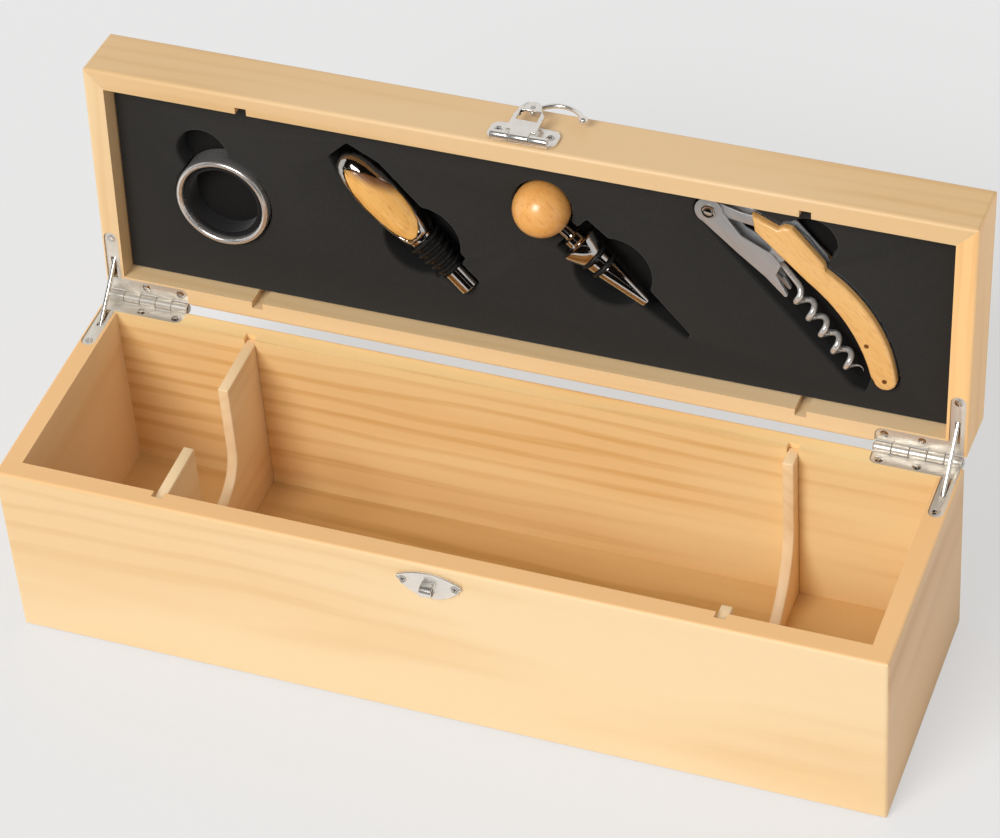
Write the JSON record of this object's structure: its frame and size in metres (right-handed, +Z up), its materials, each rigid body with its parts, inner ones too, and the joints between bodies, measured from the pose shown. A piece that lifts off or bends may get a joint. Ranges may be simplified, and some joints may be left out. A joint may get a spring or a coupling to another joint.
{
  "type": "wine box",
  "caption": "Hinged wooden box for one bottle of wine, with two dividers, quadrant hinges, a hasp with a hook, and a set of four wine tools in its lid.",
  "frame": {"origin": "centre of the underside of the base", "axes": "+X along the length of the box to the right, +Y to the hinged back, +Z up"},
  "size_m": [0.36, 0.1521, 0.1987],
  "materials": {
    "wood": "satin",
    "panel_wood": "satin",
    "tool_wood": "satin",
    "ball_wood": "gloss",
    "foam": "matte",
    "felt": "matte",
    "hinge_nickel": "satin",
    "latch_nickel": "polished",
    "tool_chrome": "polished",
    "tool_steel": "satin",
    "brass": "satin",
    "rubber": "matte"
  },
  "bodies": {
    "base": {"base_front": "wood", "base_back": "wood", "base_left": "wood", "base_right": "wood", "base_floor": "panel_wood", "neck_rest": "panel_wood", "bottle_rest": "panel_wood", "base_leaf_left": "hinge_nickel", "base_leaf_right": "hinge_nickel", "hinge_pin_left": "hinge_nickel", "hinge_pin_right": "hinge_nickel", "base_hinge_screws": "hinge_nickel", "catch_plate": "latch_nickel", "catch_screws": "latch_nickel"},
    "left_stay": {"stay_left": "hinge_nickel"},
    "right_stay": {"stay_right": "hinge_nickel"},
    "lid": {"lid_front": "wood", "lid_back": "wood", "lid_left": "wood", "lid_right": "wood", "lid_top": "panel_wood", "tool_board": "foam", "lid_leaf_left": "hinge_nickel", "lid_leaf_right": "hinge_nickel", "lid_hinge_screws": "hinge_nickel", "latch_plate": "latch_nickel", "latch_screws": "latch_nickel", "hasp_pin": "latch_nickel"},
    "hasp": {"hasp": "latch_nickel", "horn_rivet": "latch_nickel"},
    "hook": {"horn_hook": "latch_nickel"},
    "drip_ring": {"drip_ring": "tool_chrome", "drip_ring_felt": "felt"},
    "pourer": {"pourer_spout": "tool_chrome", "pourer_inlay": "tool_wood", "pourer_plug": "rubber", "pourer_tube": "tool_chrome"},
    "stopper": {"stopper_ball": "ball_wood", "stopper_stem": "tool_chrome", "stopper_seals": "rubber"},
    "corkscrew": {"corkscrew_frame": "tool_steel", "front_scale": "tool_wood", "back_scale": "tool_wood", "handle_pins": "brass", "worm_pin": "tool_chrome", "lever_rivet": "tool_chrome"},
    "lever": {"corkscrew_lever": "tool_steel"},
    "worm": {"corkscrew_worm": "tool_chrome"},
    "knife": {"foil_knife": "tool_steel"}
  },
  "joints": [
    {"name": "lid_hinge", "type": "hinge", "parent": "base", "child": "lid", "pos_m": [0, 0.0555, 0.08515], "axis": [1, 0, 0], "range_deg": [0, 95]},
    {"name": "left_stay_swing", "type": "hinge", "parent": "base", "child": "left_stay", "pos_m": [0, 0.0555, 0.08515], "axis": [1, 0, 0], "range_deg": [0, 47.5]},
    {"name": "right_stay_swing", "type": "hinge", "parent": "base", "child": "right_stay", "pos_m": [0, 0.0555, 0.08515], "axis": [1, 0, 0], "range_deg": [0, 47.5]},
    {"name": "hasp_hinge", "type": "hinge", "parent": "lid", "child": "hasp", "pos_m": [0.001, 0.06735, 0.19704], "axis": [1, 0, 0], "range_deg": [0, 175]},
    {"name": "hook_turn", "type": "hinge", "parent": "hasp", "child": "hook", "pos_m": [0.001, 0.08435, 0.19704], "axis": [0, 0, 1], "range_deg": [0, 80]},
    {"name": "ring_lift", "type": "slide", "parent": "lid", "child": "drip_ring", "axis": [0, 0.9962, -0.0872], "range_m": [-0.06, 0]},
    {"name": "pourer_lift", "type": "slide", "parent": "lid", "child": "pourer", "axis": [0, 0.9962, -0.0872], "range_m": [-0.06, 0]},
    {"name": "stopper_lift", "type": "slide", "parent": "lid", "child": "stopper", "axis": [0, 0.9962, -0.0872], "range_m": [-0.06, 0]},
    {"name": "corkscrew_lift", "type": "slide", "parent": "lid", "child": "corkscrew", "axis": [0, 0.9962, -0.0872], "range_m": [-0.25, 0]},
    {"name": "lever_pivot", "type": "hinge", "parent": "corkscrew", "child": "lever", "pos_m": [0.07445, 0.07403, 0.17471], "axis": [0, 0.9962, -0.0872], "range_deg": [0, 135]},
    {"name": "worm_pivot", "type": "hinge", "parent": "corkscrew", "child": "worm", "pos_m": [0.09977, 0.07254, 0.15767], "axis": [0, 0.9962, -0.0872], "range_deg": [0, 90]},
    {"name": "knife_pivot", "type": "hinge", "parent": "corkscrew", "child": "knife", "pos_m": [0.13795, 0.06987, 0.12724], "axis": [0, 0.9962, -0.0872], "range_deg": [0, 112]}
  ],
  "couplings": [
    {"joint": "left_stay_swing", "follows": "lid_hinge", "ratio": 0.5},
    {"joint": "right_stay_swing", "follows": "lid_hinge", "ratio": 0.5},
    {"joint": "lever_pivot", "follows": "corkscrew_lift", "rad_per_m": -9.4241},
    {"joint": "worm_pivot", "follows": "corkscrew_lift", "rad_per_m": -6.2825},
    {"joint": "knife_pivot", "follows": "corkscrew_lift", "rad_per_m": -7.8184}
  ]
}
